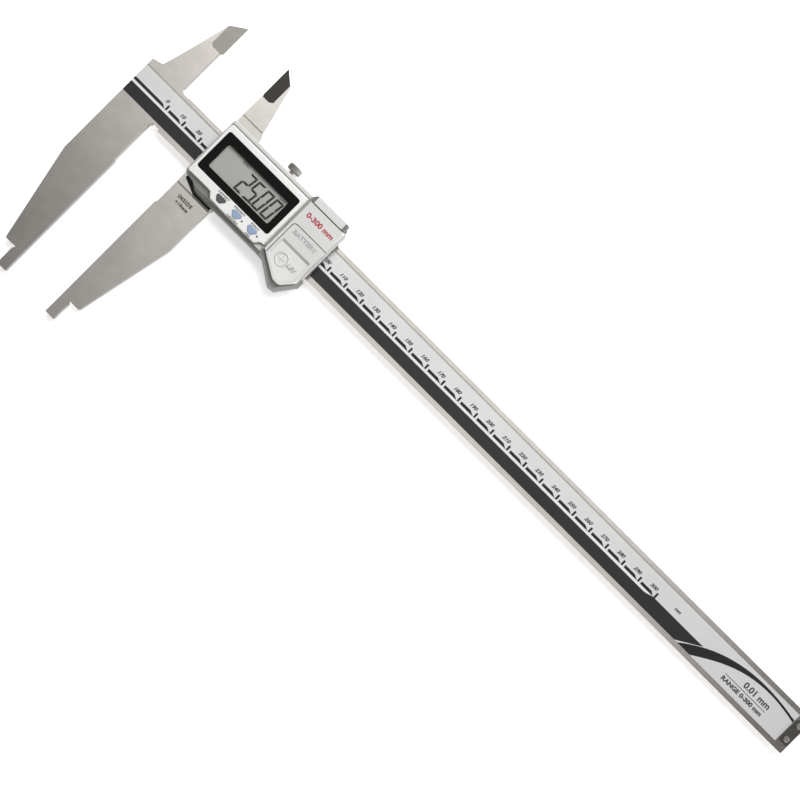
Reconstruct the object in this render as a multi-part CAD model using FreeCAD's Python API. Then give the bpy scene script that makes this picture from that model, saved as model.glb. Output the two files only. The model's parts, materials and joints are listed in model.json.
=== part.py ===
import FreeCAD, Part
import math
import os

# Digital caliper, 0-300 mm, drawn 25 mm open.  Lengths are in millimetres.
# Drawing frame: X runs along the beam from the fixed measuring face (X = 0) to the free end,
# Y runs across the beam from its centre line towards the upper blades, and Z runs from the
# back of the slider (Z = 0, the face it lies on) out through the display.
# Every node is moved by the same amount at the end, so that the origin is the centre of the
# bottom of the whole object.

# ---------------------------------------------------------------- driving dimensions
OPENING = 25.0            # distance between the measuring faces as drawn
BEAM_LEFT = -20.0         # outer edge of the fixed jaw
BEAM_RIGHT = 385.7        # free end of the beam
BEAM_HALF = 10.0          # half of the beam's 20 mm width
BEAM_BACK = 2.0           # back face of beam and jaws
BEAM_FRONT = 6.0          # front face of beam and jaws
SLIDE_GAP = 0.05          # running clearance between beam and slider

JAW_TIP = -100.0          # end of the lower nibs
NIB_ROOT = -89.5          # where the nibs begin
NIB_WIDTH = 5.0           # each nib, so that both together add 10 mm to an inside size
JAW_FACE_TOP = -31.8      # the measuring face begins here
JAW_RELIEF = 0.65         # the jaw's root stands back this much
BLADE_TIP = 50.0          # end of the upper blades
BLADE_FACE = 33.6         # the ground blade begins here
BLADE_RELIEF_FIXED = 0.95 # each blade's root stands back this much
BLADE_RELIEF_MOVING = 0.55
BLADE_LAND = 1.0          # thickness left at the edge of each ground blade

RECESS_LOW, RECESS_HIGH = -7.7, 8.1     # groove in the beam for the scale, across Y
LABEL_LOW, LABEL_HIGH = -7.6, 7.9
RECESS_FLOOR = 5.1
RECESS_END = 379.8
STRIP_TOP = 5.6
LABEL_TOP = 5.9

STOP_X0, STOP_X1 = 380.0, 384.9         # stop plate
STOP_LOW, STOP_HIGH = -6.2, 6.0
STOP_TOP = 6.9
STOP_SCREW_X = 382.5
STOP_SCREW_Y = 3.9

FRAME_LEFT = 26.0         # slider frame, along X
FRAME_RIGHT = 94.1
RAIL_LOW = -17.3          # outer face of the lower rail
RAIL_HIGH = 17.5          # outer face of the upper rail
RAIL_FRONT = 6.4          # front of both rails, where the housings sit
GIB_SEAT = 11.2           # inner face of the upper rail
GIB_TOP = 11.0
GIB_LEFT, GIB_RIGHT = 30.0, 92.0
GIB_SCREW_X = (46.0, 80.0)
AXIS_Z = 4.0              # height of the screws that press on the gib

CLAMP_X = 58.4            # clamp screw
CLAMP_HOLE = 1.25
PAD_BOTTOM = 11.22        # 0.22 mm over the gib when the slider is free
PAD_TOP = 13.0
HEAD_LOW, HEAD_HIGH = 19.15, 22.2
HEAD_RADIUS = 3.45

SHELL_FRONT = 15.0        # front face of both housings
SHELL_STEP = 12.7         # ledge around the raised front
INNER_FRONT = 13.4        # inside of the front wall
TRIM_BACK = 10.0          # underside of the dark strip along the lower edge
SEAM_X = 74.0             # the display housing meets the battery housing here

BOARD_BACK, BOARD_FRONT = 8.8, 9.8
HEAD_BOARD_FRONT = 7.2
LCD_BACK, LCD_FRONT = 12.0, 13.2
LENS_FRONT = 14.0
BEZEL_FRONT = 15.2
WINDOW = (32.3, 68.05, -4.8, 7.9)       # visible part of the display: X, X, Y, Y
BEZEL = (28.5, 71.6, -8.4, 12.3)

BUTTON_X = {"offset": 46.4, "preset": 56.0, "zero": 65.4}
BUTTON_HIGH, BUTTON_WAIST, BUTTON_LOW = -10.25, -11.15, -13.3
BUTTON_FRONT = 15.4
BUTTON_GAP = 0.08

CELL_X, CELL_Y = 85.3, -6.6             # SR44 cell, 11.6 mm across and 5.4 mm thick
CELL_RADIUS = 5.8
CELL_BACK, CELL_FRONT = 7.45, 12.85
LID_BACK = 12.9
LID_GAP = 0.4
LID_SCREW = (88.3, -18.7)
MARK = (83.5, -11.2)      # centre of the raised mark on the lid

# screws that hold the two housings, put in from the back of the frame
HOUSING_SCREWS = [(31.2, 14.8), (51.0, 14.8), (70.9, 14.8), (46.5, -15.3), (70.9, -15.3)]
BATTERY_SCREWS = [(76.0, 13.6), (92.4, 13.6), (76.0, -12.2), (92.4, -13.0)]

SOCKET_X = 84.25          # middle of the data socket
COVER = (76.0, 92.5, 15.85, 19.7)       # cover of the data socket
COVER_SCREW_X = (77.85, 90.65)


# ---------------------------------------------------------------- drawing helpers
def block(x0, x1, y0, y1, z0, z1):
    """A box between two corners."""
    return Part.makeBox(x1 - x0, y1 - y0, z1 - z0, FreeCAD.Vector(x0, y0, z0))


def rod_z(x, y, radius, z0, z1):
    return Part.makeCylinder(radius, z1 - z0, FreeCAD.Vector(x, y, z0), FreeCAD.Vector(0, 0, 1))


def rod_y(x, z, radius, y0, y1):
    return Part.makeCylinder(radius, y1 - y0, FreeCAD.Vector(x, y0, z), FreeCAD.Vector(0, 1, 0))


def rod_x(y, z, radius, x0, x1):
    return Part.makeCylinder(radius, x1 - x0, FreeCAD.Vector(x0, y, z), FreeCAD.Vector(1, 0, 0))


def cone_z(x, y, radius0, radius1, z0, z1):
    return Part.makeCone(radius0, radius1, z1 - z0, FreeCAD.Vector(x, y, z0))


def join(shapes):
    """One solid from shapes that touch or overlap."""
    result = shapes[0]
    if len(shapes) > 1:
        result = result.fuse(shapes[1:]).removeSplitter()
    return result


def cut(shape, tools):
    return shape.cut(tools).removeSplitter() if tools else shape


def group(shapes):
    """Separate solids kept together as one node."""
    return Part.makeCompound(shapes)


def grown(points, distance):
    """The outline moved outwards by a distance.  Points are (x, y, corner radius)."""
    area = sum(a[0] * b[1] - b[0] * a[1] for a, b in zip(points, points[1:] + points[:1]))
    turn = 1.0 if area > 0 else -1.0
    result = []
    for i, corner in enumerate(points):
        before = points[i - 1]
        after = points[(i + 1) % len(points)]
        u = unit(corner[0] - before[0], corner[1] - before[1])
        v = unit(after[0] - corner[0], after[1] - corner[1])
        n1 = (turn * u[1], -turn * u[0])
        n2 = (turn * v[1], -turn * v[0])
        scale = distance / (1 + n1[0] * n2[0] + n1[1] * n2[1])
        convex = turn * (u[0] * v[1] - u[1] * v[0]) > 0
        radius = corner[2] + distance if convex else corner[2] - distance
        x = corner[0] + (n1[0] + n2[0]) * scale
        y = corner[1] + (n1[1] + n2[1]) * scale
        result.append((x, y, max(radius, 0.05)))
    return result


def unit(x, y):
    length = math.hypot(x, y)
    return (x / length, y / length)


def outline(points, z):
    """A closed wire through points with rounded corners: (x, y) or (x, y, radius)."""
    starts, ends, middles = [], [], []
    count = len(points)
    for i in range(count):
        x, y = points[i][0], points[i][1]
        radius = points[i][2] if len(points[i]) > 2 else 0.0
        before, after = points[i - 1], points[(i + 1) % count]
        u = unit(before[0] - x, before[1] - y)
        v = unit(after[0] - x, after[1] - y)
        if radius <= 0:
            starts.append(FreeCAD.Vector(x, y, z))
            ends.append(FreeCAD.Vector(x, y, z))
            middles.append(None)
            continue
        half = math.acos(max(-1.0, min(1.0, u[0] * v[0] + u[1] * v[1]))) / 2
        reach = radius / math.tan(half)
        w = unit(u[0] + v[0], u[1] + v[1])
        depth = radius / math.sin(half) - radius
        starts.append(FreeCAD.Vector(x + u[0] * reach, y + u[1] * reach, z))
        ends.append(FreeCAD.Vector(x + v[0] * reach, y + v[1] * reach, z))
        middles.append(FreeCAD.Vector(x + w[0] * depth, y + w[1] * depth, z))
    edges = []
    for i in range(count):
        if middles[i] is not None:
            edges.append(Part.Arc(starts[i], middles[i], ends[i]).toShape())
        nxt = (i + 1) % count
        if (ends[i] - starts[nxt]).Length > 1e-6:
            edges.append(Part.makeLine(ends[i], starts[nxt]))
    return Part.Wire(edges)


def plate(points, z0, z1):
    """An outline raised from z0 to z1."""
    face = Part.Face(outline(points, z0))
    return face.extrude(FreeCAD.Vector(0, 0, z1 - z0))


def tapered(points, z0, z1, flare):
    """An outline at z1 that widens by the flare down to z0."""
    low = outline(grown(points, flare), z0)
    high = outline(points, z1)
    return Part.makeLoft([low, high], True, True)


def edged_plate(points, z0, z1, edge):
    """A plate whose front edge is broken all round."""
    straight = plate(points, z0, z1 - edge)
    rim = tapered(grown(points, -edge), z1 - edge, z1, edge)
    return join([straight, rim])


def raised_front(points, flare):
    """The raised front of a housing, from the ledge up to the face, with a broken edge."""
    side = tapered(points, SHELL_STEP, SHELL_FRONT - 0.3, flare)
    face = tapered(grown(points, -0.2), SHELL_FRONT - 0.3, SHELL_FRONT, 0.2)
    return join([side, face])


def rounded_block(x0, x1, y0, y1, z0, z1, radius):
    corners = [(x0, y0, radius), (x1, y0, radius), (x1, y1, radius), (x0, y1, radius)]
    return plate(corners, z0, z1)


def ring_plate(outer, inner, z0, z1):
    return plate(outer, z0, z1).cut(plate(inner, z0 - 1, z1 + 1))


def edges_at(shape, z):
    """Edges that lie wholly at one height."""
    found = []
    for edge in shape.Edges:
        box = edge.BoundBox
        if abs(box.ZMin - z) < 1e-4 and abs(box.ZMax - z) < 1e-4:
            found.append(edge)
    return found


def slotted_screw(x, y, z_tip, z_seat, z_head, shank, head):
    """A cheese-head screw that stands along Z, with a driver slot."""
    body = join([rod_z(x, y, shank, z_tip, z_seat), rod_z(x, y, head, z_seat, z_head)])
    body = body.makeChamfer((z_head - z_seat) * 0.3, edges_at(body, z_head))
    slot = block(x - head - 1, x + head + 1, y - 0.2, y + 0.2, z_head - 0.35, z_head + 1)
    return body.cut(slot)


def countersunk_screw(x, y, z_head, z_tip):
    """A countersunk screw whose head is at the back, with a cross recess."""
    head = cone_z(x, y, 1.6, 0.8, z_head, z_head + 0.8)
    body = join([head, rod_z(x, y, 0.8, z_head + 0.8, z_tip)])
    bar = block(x - 0.9, x + 0.9, y - 0.17, y + 0.17, z_head - 1, z_head + 0.45)
    cross = block(x - 0.17, x + 0.17, y - 0.9, y + 0.9, z_head - 1, z_head + 0.45)
    return body.cut([bar, cross])


def countersunk_hole(x, y, z_head, z_tip):
    """Clearance for a countersunk screw."""
    return join([
        rod_z(x, y, 1.65, z_head - 3, z_head),
        cone_z(x, y, 1.65, 0.85, z_head, z_head + 0.8),
        rod_z(x, y, 0.85, z_head + 0.8, z_tip),
    ])


# ---------------------------------------------------------------- jaws
def lower_jaw(face_x, side):
    """A long lower jaw and its nib.  Side is -1 for the fixed jaw and +1 for the moving one."""
    def at(distance):
        return face_x + side * distance
    body = plate([
        (at(JAW_RELIEF), -9.0), (at(JAW_RELIEF), JAW_FACE_TOP + 0.25), (at(0), JAW_FACE_TOP - 0.4),
        (at(0), JAW_TIP), (at(NIB_WIDTH), JAW_TIP), (at(NIB_WIDTH), NIB_ROOT),
        (at(10.0), NIB_ROOT, 0.3), (at(10.35), NIB_ROOT + 0.5, 0.3), (at(20.0), -43.5, 1.5),
        (at(20.0), -9.0),
    ], BEAM_BACK, BEAM_FRONT)
    undercut = rod_z(at(NIB_WIDTH), NIB_ROOT - 0.4, 0.6, BEAM_BACK - 1, BEAM_FRONT + 1)
    return body.cut(undercut)


def upper_blade(face_x, side, relief, shoulder):
    """An upper jaw whose tip is ground to a blade.  Shoulder lists its outer edge."""
    def at(distance):
        return face_x + side * distance
    edge = [(at(d), y, r) for d, y, r in shoulder]
    body = plate(edge + [
        (at(10.2), 30.0), (at(7.6), 40.0), (at(6.3), 45.0, 0.4),
        (at(0.0), BLADE_TIP), (at(0), BLADE_FACE + 0.8), (at(relief), BLADE_FACE - 0.4),
        (at(relief), 9.0),
    ], BEAM_BACK, BEAM_FRONT)
    bevel = blade_bevel(face_x, side)
    return body.cut(bevel)


def blade_bevel(face_x, side):
    """The wedge that is ground off the front of a blade, thinning it to its measuring edge."""
    def at(distance):
        return face_x + side * distance
    z_land = BEAM_BACK + BLADE_LAND
    profile = [
        FreeCAD.Vector(at(6.4), 0, BEAM_FRONT), FreeCAD.Vector(at(-1.0), 0, z_land - 0.45),
        FreeCAD.Vector(at(-1.0), 0, BEAM_FRONT + 1), FreeCAD.Vector(at(6.4), 0, BEAM_FRONT + 1),
    ]
    face = Part.Face(Part.makePolygon(profile + profile[:1]))
    wedge = face.extrude(FreeCAD.Vector(0, BLADE_TIP + 2, 0))
    keep = plate([(at(-2), 0), (at(-2), 33.2), (at(4.8), 33.2), (at(6.5), 34.4), (at(9), 34.4), (at(9), 0)],
                 BEAM_BACK - 1, BEAM_FRONT + 3)
    return wedge.cut(keep)


# ---------------------------------------------------------------- beam and what is fixed to it
def main_beam():
    bar = block(BEAM_LEFT, BEAM_RIGHT, -BEAM_HALF, BEAM_HALF, BEAM_BACK, BEAM_FRONT)
    ends = [e for e in bar.Edges if abs(e.BoundBox.XMin - BEAM_RIGHT) < 1e-4]
    bar = bar.makeChamfer(0.4, ends)
    shoulder = [(20.0, 9.0, 0), (20.0, 11.2, 0.4), (15.0, 12.5, 1.2), (12.8, 20.0, 0)]
    body = join([bar, lower_jaw(0.0, -1), upper_blade(0.0, -1, BLADE_RELIEF_FIXED, shoulder)])
    recess = block(BEAM_LEFT - 1, RECESS_END, RECESS_LOW, RECESS_HIGH, RECESS_FLOOR, BEAM_FRONT + 1)
    low_relief = block(0.0, 4.0, -BEAM_HALF - 0.5, -9.0, BEAM_BACK - 1, BEAM_FRONT + 1)
    high_relief = block(0.0, 4.0, 9.7, BEAM_HALF + 0.5, BEAM_BACK - 1, BEAM_FRONT + 1)
    holes = [rod_z(STOP_SCREW_X, y, 0.62, 3.0, BEAM_FRONT + 1) for y in (-STOP_SCREW_Y, STOP_SCREW_Y)]
    return cut(body, [recess, low_relief, high_relief] + holes)


def scale_strip():
    return block(BEAM_LEFT + 0.5, RECESS_END - 0.5, LABEL_LOW + 0.3, LABEL_HIGH - 0.3,
                 RECESS_FLOOR, STRIP_TOP)


def scale_label():
    return block(BEAM_LEFT, RECESS_END, LABEL_LOW, LABEL_HIGH, STRIP_TOP, LABEL_TOP)


def stop_plate():
    body = rounded_block(STOP_X0, STOP_X1, STOP_LOW, STOP_HIGH, BEAM_FRONT, STOP_TOP, 0.8)
    holes = [rod_z(STOP_SCREW_X, y, 0.7, BEAM_FRONT - 1, STOP_TOP + 1) for y in (-STOP_SCREW_Y, STOP_SCREW_Y)]
    return cut(body, holes)


def stop_screws():
    screws = []
    for y in (-STOP_SCREW_Y, STOP_SCREW_Y):
        screws.append(slotted_screw(STOP_SCREW_X, y, 3.4, STOP_TOP, STOP_TOP + 0.7, 0.6, 1.35))
    return group(screws)


# ---------------------------------------------------------------- steel slider
def slider_frame():
    back = block(FRAME_LEFT, FRAME_RIGHT, RAIL_LOW, RAIL_HIGH, 0.0, BEAM_BACK - SLIDE_GAP)
    low_rail = block(FRAME_LEFT, FRAME_RIGHT, RAIL_LOW, -BEAM_HALF - SLIDE_GAP, 0.0, RAIL_FRONT)
    high_rail = block(FRAME_LEFT, FRAME_RIGHT, GIB_SEAT, RAIL_HIGH, 0.0, RAIL_FRONT)
    low_root = plate([(25.7, -BEAM_HALF - SLIDE_GAP), (25.7, -18.85, 0.4), (45.4, -18.85, 0.4),
                      (45.4, -BEAM_HALF - SLIDE_GAP)], 0.0, RAIL_FRONT)
    high_root = plate([(25.7, GIB_SEAT), (25.7, 21.2, 0.4), (37.3, 21.2, 0.6), (38.1, 18.2, 0.4),
                       (38.1, GIB_SEAT)], 0.0, RAIL_FRONT)
    shoulder = [(13.0, 12.0, 0), (13.0, 18.5, 0.5)]
    jaw = lower_jaw(OPENING, 1).cut(block(20, 60, -BEAM_HALF - SLIDE_GAP, 0, 0, 9))
    blade = upper_blade(OPENING, 1, BLADE_RELIEF_MOVING, shoulder).cut(block(20, 60, 0, GIB_SEAT, 0, 9))
    body = join([back, low_rail, high_rail, low_root, high_root, jaw, blade])
    body = body.cut([step_line(-19.2), step_line(21.5)])
    tools = [rod_y(CLAMP_X, AXIS_Z, CLAMP_HOLE, GIB_SEAT - 1, 14.0)]
    tools.append(rod_y(CLAMP_X, AXIS_Z, 1.5, 13.4, RAIL_HIGH + 1))
    for x in GIB_SCREW_X:
        tools.append(rod_y(x, AXIS_Z, 1.25, GIB_SEAT - 1, RAIL_HIGH + 4))
    for x, y in HOUSING_SCREWS + BATTERY_SCREWS:
        tools.append(countersunk_hole(x, y, 0.1, RAIL_FRONT + 1))
    tools.append(block(33.8, 86.2, -8.2, 8.2, -1, 0.25))
    tools.append(rod_y(CLAMP_X, AXIS_Z, 1.9, RAIL_HIGH - 0.4, RAIL_HIGH + 1))
    return cut(body, tools)


def step_line(y):
    """A small V-groove across a jaw, just outside its thicker root."""
    section = [
        FreeCAD.Vector(24.0, y - 0.35, BEAM_FRONT + 0.01), FreeCAD.Vector(24.0, y, BEAM_FRONT - 0.28),
        FreeCAD.Vector(24.0, y + 0.35, BEAM_FRONT + 0.01),
    ]
    return Part.Face(Part.makePolygon(section + section[:1])).extrude(FreeCAD.Vector(23.0, 0, 0))


def gib():
    return block(GIB_LEFT, GIB_RIGHT, BEAM_HALF + SLIDE_GAP, GIB_TOP, 2.3, 5.7)


def gib_screws():
    screws = []
    for x in GIB_SCREW_X:
        body = rod_y(x, AXIS_Z, 1.2, GIB_TOP, 14.6)
        socket = Part.Face(Part.makePolygon(hexagon_y(x, AXIS_Z, 14.6, 0.65)))
        screws.append(body.cut(socket.extrude(FreeCAD.Vector(0, -1.2, 0))))
    return group(screws)


def hexagon_y(x, z, y, radius):
    points = []
    for i in range(7):
        angle = math.radians(60 * i)
        points.append(FreeCAD.Vector(x + radius * math.cos(angle), y, z + radius * math.sin(angle)))
    return points


def back_label():
    return rounded_block(34.0, 86.0, -8.0, 8.0, 0.05, 0.25, 1.0)


def housing_screws():
    return group([countersunk_screw(x, y, 0.1, 9.4) for x, y in HOUSING_SCREWS])


def battery_housing_screws():
    return group([countersunk_screw(x, y, 0.1, 9.4) for x, y in BATTERY_SCREWS])


# ---------------------------------------------------------------- clamp
def clamp_pad():
    body = rod_y(CLAMP_X, AXIS_Z, CLAMP_HOLE - 0.05, PAD_BOTTOM, PAD_TOP)
    socket = rod_y(CLAMP_X, AXIS_Z, 0.65, PAD_TOP - 0.8, PAD_TOP + 1)
    return body.cut(socket)


def clamp_screw():
    nose = rod_y(CLAMP_X, AXIS_Z, 0.6, PAD_TOP - 0.75, 13.5)
    stem = rod_y(CLAMP_X, AXIS_Z, 1.15, PAD_TOP + 0.03, HEAD_LOW + 0.2)
    thread = rod_y(CLAMP_X, AXIS_Z, 1.44, 14.3, RAIL_HIGH)
    head = rod_y(CLAMP_X, AXIS_Z, HEAD_RADIUS, HEAD_LOW, HEAD_HIGH)
    rims = [e for e in head.Edges if e.BoundBox.YLength < 1e-4]
    head = head.makeFillet(0.7, rims)
    notches = []
    count = 30
    for i in range(count):
        angle = 2 * math.pi * i / count
        x = CLAMP_X + (HEAD_RADIUS + 0.12) * math.cos(angle)
        z = AXIS_Z + (HEAD_RADIUS + 0.12) * math.sin(angle)
        notches.append(rod_y(x, z, 0.26, HEAD_LOW - 1, HEAD_HIGH + 1))
    head = head.cut(notches)
    return join([nose, stem, thread, head])


# ---------------------------------------------------------------- display housing
def housing_base():
    return [(26.0, 17.6, 1.2), (SEAM_X, 17.6, 0.2), (SEAM_X, -17.45, 0.2), (36.2, -17.45, 2.0),
            (32.0, -14.7, 2.0), (27.4, -14.0, 0.8), (26.0, -12.6, 0.8)]


def housing_front():
    return [(27.2, 14.9, 0.7), (73.3, 14.9, 0.2), (73.3, -12.3, 0.2), (71.6, -12.3, 1.2),
            (69.5, -14.6, 1.2), (42.9, -14.6, 1.2), (40.6, -12.1, 1.2), (27.2, -12.1, 0.7)]


def cavity_outline():
    return [(29.7, 11.6, 0.8), (71.1, 11.6, 0.8), (71.1, -13.5, 0.8), (42.3, -13.5, 0.8),
            (39.7, -11.5, 0.8), (29.7, -11.5, 0.8)]


def button_outline(x, extra):
    """A shield: flat at the top, widest just below it and narrow at the bottom."""
    corners = [(x - 2.0, BUTTON_HIGH, 0.4), (x - 2.75, BUTTON_WAIST, 0.5), (x - 1.0, BUTTON_LOW, 0.9),
               (x + 1.0, BUTTON_LOW, 0.9), (x + 2.75, BUTTON_WAIST, 0.5), (x + 2.0, BUTTON_HIGH, 0.4)]
    return grown(corners, extra) if extra else corners


def display_housing():
    base = edged_plate(housing_base(), RAIL_FRONT, SHELL_STEP, 0.6)
    base = base.cut([lower_slope(), trim_pocket()])
    base = base.cut(front_grooves())
    body = join([base, raised_front(housing_front(), 0.5)])
    tools = [plate(cavity_outline(), RAIL_FRONT - 1, INNER_FRONT)]
    tools.append(rounded_block(BEZEL[0], BEZEL[1], BEZEL[2], BEZEL[3], INNER_FRONT, SHELL_FRONT + 1, 1.3))
    for x in BUTTON_X.values():
        tools.append(plate(button_outline(x, BUTTON_GAP), INNER_FRONT - 1, SHELL_FRONT + 1))
    for x, y in HOUSING_SCREWS:
        tools.append(rod_z(x, y, 0.82, RAIL_FRONT - 1, 9.8))
    tools.append(gasket_shape(0.0))
    tools.append(block(26.8, 27.8, -9.9, 9.9, RAIL_FRONT - 1, 7.4))
    tools.append(block(70.5, SEAM_X + 1, 6.9, 10.1, 8.2, 8.55))
    return cut(body, tools)


def lower_slope():
    """What is taken off the housing's lower edge, so that it slopes away under the buttons."""
    profile = [
        FreeCAD.Vector(20, -15.3, SHELL_STEP), FreeCAD.Vector(20, -16.7, 11.9),
        FreeCAD.Vector(20, -17.7, 10.2), FreeCAD.Vector(20, -19.0, 10.2),
        FreeCAD.Vector(20, -19.0, SHELL_STEP + 1), FreeCAD.Vector(20, -15.3, SHELL_STEP + 1),
    ]
    face = Part.Face(Part.makePolygon(profile + profile[:1]))
    return face.extrude(FreeCAD.Vector(60, 0, 0))


def trim_region():
    """The strip of the housing's foot that lies below its raised front."""
    return [(20.0, -12.95), (40.1, -12.95), (42.5, -15.45), (80.0, -15.45), (80.0, -20.0), (20.0, -20.0)]


def front_grooves():
    """Narrow grooves at the foot of the raised front, along its upper and its lower edge."""
    inner = grown(housing_front(), 0.5)
    outer = grown(housing_front(), 0.95)
    ring = ring_plate(outer, inner, SHELL_STEP - 1.1, SHELL_FRONT)
    return [ring.common(block(20, 80, -20, -11.9, 8, 20)), ring.common(block(20, 80, 14.9, 20, 8, 20))]


def trim_pocket():
    corners = [(x, y, 0.05) for x, y in trim_region()]
    return plate(grown(corners, 0.02), TRIM_BACK - 0.02, SHELL_FRONT)


def lower_trim():
    """A dark strip let into the housing's lower edge; it carries on the line of the thumb grip."""
    body = edged_plate(housing_base(), RAIL_FRONT, SHELL_STEP, 0.6).cut(lower_slope())
    return body.common(plate([(x, y, 0.05) for x, y in trim_region()], TRIM_BACK, SHELL_FRONT))


def gasket_shape(shrink):
    """A loop around the cavity, let into the foot of the display housing."""
    inner = grown(cavity_outline(), 0.25 + shrink)
    outer = grown(cavity_outline(), 0.85 - shrink)
    return ring_plate(outer, inner, RAIL_FRONT, 7.1)


def housing_gasket():
    return gasket_shape(0.02)


def foot_seal():
    """A black lip on the jaw's root that follows the housing's lower left edge."""
    outer = [(27.4, -12.0, 0.2), (27.4, -15.5, 0.6), (30.8, -16.9, 1.2), (35.0, -18.75, 1.2),
             (44.8, -18.75, 0.2), (44.8, -12.0, 0.2)]
    return plate(outer, RAIL_FRONT, 7.2).cut(plate(grown(housing_base(), 0.02), RAIL_FRONT - 1, 9))


def read_head_board():
    return plate(grown(cavity_outline(), -0.2), RAIL_FRONT, HEAD_BOARD_FRONT)


def main_board():
    return plate(grown(cavity_outline(), -0.5), BOARD_BACK, BOARD_FRONT)


def board_parts():
    measuring_chip = block(42.0, 50.0, -4.0, 4.0, 7.6, BOARD_BACK)
    crystal = rounded_block(56.0, 60.2, -1.0, 1.0, 7.7, BOARD_BACK, 0.9)
    small = [block(x, x + 1.6, 5.0, 5.8, 8.2, BOARD_BACK) for x in (43.0, 46.0, 49.0, 58.0, 61.0)]
    return group([measuring_chip, crystal] + small)


def board_connector():
    body = block(33.0, 37.0, -5.0, 5.0, HEAD_BOARD_FRONT, BOARD_BACK)
    return body.cut(block(34.7, 35.3, -4.5, 4.5, HEAD_BOARD_FRONT - 1, BOARD_BACK + 1))


def contact_domes():
    domes = []
    for x in BUTTON_X.values():
        dome = rod_z(x, -11.0, 1.7, BOARD_FRONT, BOARD_FRONT + 0.5)
        domes.append(dome.makeFillet(0.35, edges_at(dome, BOARD_FRONT + 0.5)))
    return group(domes)


def keypad_seal():
    body = rounded_block(43.3, 70.4, -13.2, -8.5, BOARD_FRONT, 11.9, 0.8)
    return cut(body, [rod_z(x, -11.0, 1.9, BOARD_FRONT - 1, 13) for x in BUTTON_X.values()])


def lcd_holder():
    outer = rounded_block(30.3, 70.3, -8.1, 11.2, BOARD_FRONT, LCD_BACK, 0.8)
    opening = rounded_block(32.5, 68.1, -5.6, 8.8, BOARD_FRONT - 1, LCD_BACK + 1, 0.6)
    slot = block(32.1, 68.5, 9.2, 10.3, BOARD_FRONT - 1, LCD_BACK + 1)
    return cut(outer, [opening, slot])


def zebra_strip():
    return block(32.3, 68.3, 9.25, 10.25, BOARD_FRONT, LCD_BACK)


def lcd_panel():
    rear_glass = block(30.8, 69.8, -6.4, 10.8, LCD_BACK, 12.6)
    front_glass = block(30.8, 69.8, -6.4, 9.2, 12.6, LCD_FRONT)
    return join([rear_glass, front_glass])


def window_lens():
    return rounded_block(29.2, 70.9, -7.7, 11.6, INNER_FRONT, LENS_FRONT, 0.8)


def window_bezel():
    gap = 0.04
    body = rounded_block(BEZEL[0] + gap, BEZEL[1] - gap, BEZEL[2] + gap, BEZEL[3] - gap,
                         INNER_FRONT, BEZEL_FRONT, 1.25)
    body = body.makeFillet(0.25, edges_at(body, BEZEL_FRONT))
    seat = rounded_block(29.15, 70.95, -7.75, 11.65, INNER_FRONT - 1, LENS_FRONT, 0.85)
    x0, x1, y0, y1 = WINDOW
    corners = [(x0, y0, 0.7), (x1, y0, 0.7), (x1, y1, 0.7), (x0, y1, 0.7)]
    rear_edge = outline(corners, LENS_FRONT - 0.5)
    front_edge = outline(grown(corners, 0.35), BEZEL_FRONT + 0.01)
    flare = Part.makeLoft([rear_edge, front_edge], True, True)
    return cut(body, [seat, flare])


def button(x):
    """Cap, flange under the front wall and stem over its contact dome."""
    cap = plate(button_outline(x, 0.0), 13.0, BUTTON_FRONT)
    cap = cap.makeFillet(0.3, edges_at(cap, BUTTON_FRONT))
    flange = rounded_block(x - 3.2, x + 3.2, -13.4, -9.6, 12.5, 13.3, 0.8)
    stem = rod_z(x, -11.3, 1.0, 10.85, 12.5)
    return join([cap, flange, stem])


# ---------------------------------------------------------------- battery housing and data socket
def battery_base():
    return [(SEAM_X, 15.8, 0.2), (95.0, 15.8, 0.6), (95.95, 14.9, 0.6), (95.95, -11.6, 0.2),
            (95.3, -11.6, 0.2), (95.3, -14.6, 3.0), (90.1, -20.5, 2.2), (86.4, -20.5, 2.0),
            (76.2, -14.4, 0.8), (SEAM_X, -13.3, 0.2)]


def battery_front():
    return [(74.7, 15.2, 0.2), (94.8, 15.2, 0.6), (94.8, -14.4, 3.0), (89.9, -20.1, 2.2),
            (86.6, -20.1, 2.0), (76.5, -14.0, 0.8), (74.7, -12.9, 0.2)]


def lid_region(gap, z0, z1):
    """Where the lid lies on the front of the battery housing."""
    corners = [(76.4 - gap, 3.85 + gap, 1.5 + gap), (99, 3.85 + gap), (99, -30), (76.4 - gap, -30)]
    return plate(corners, z0, z1)


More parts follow.
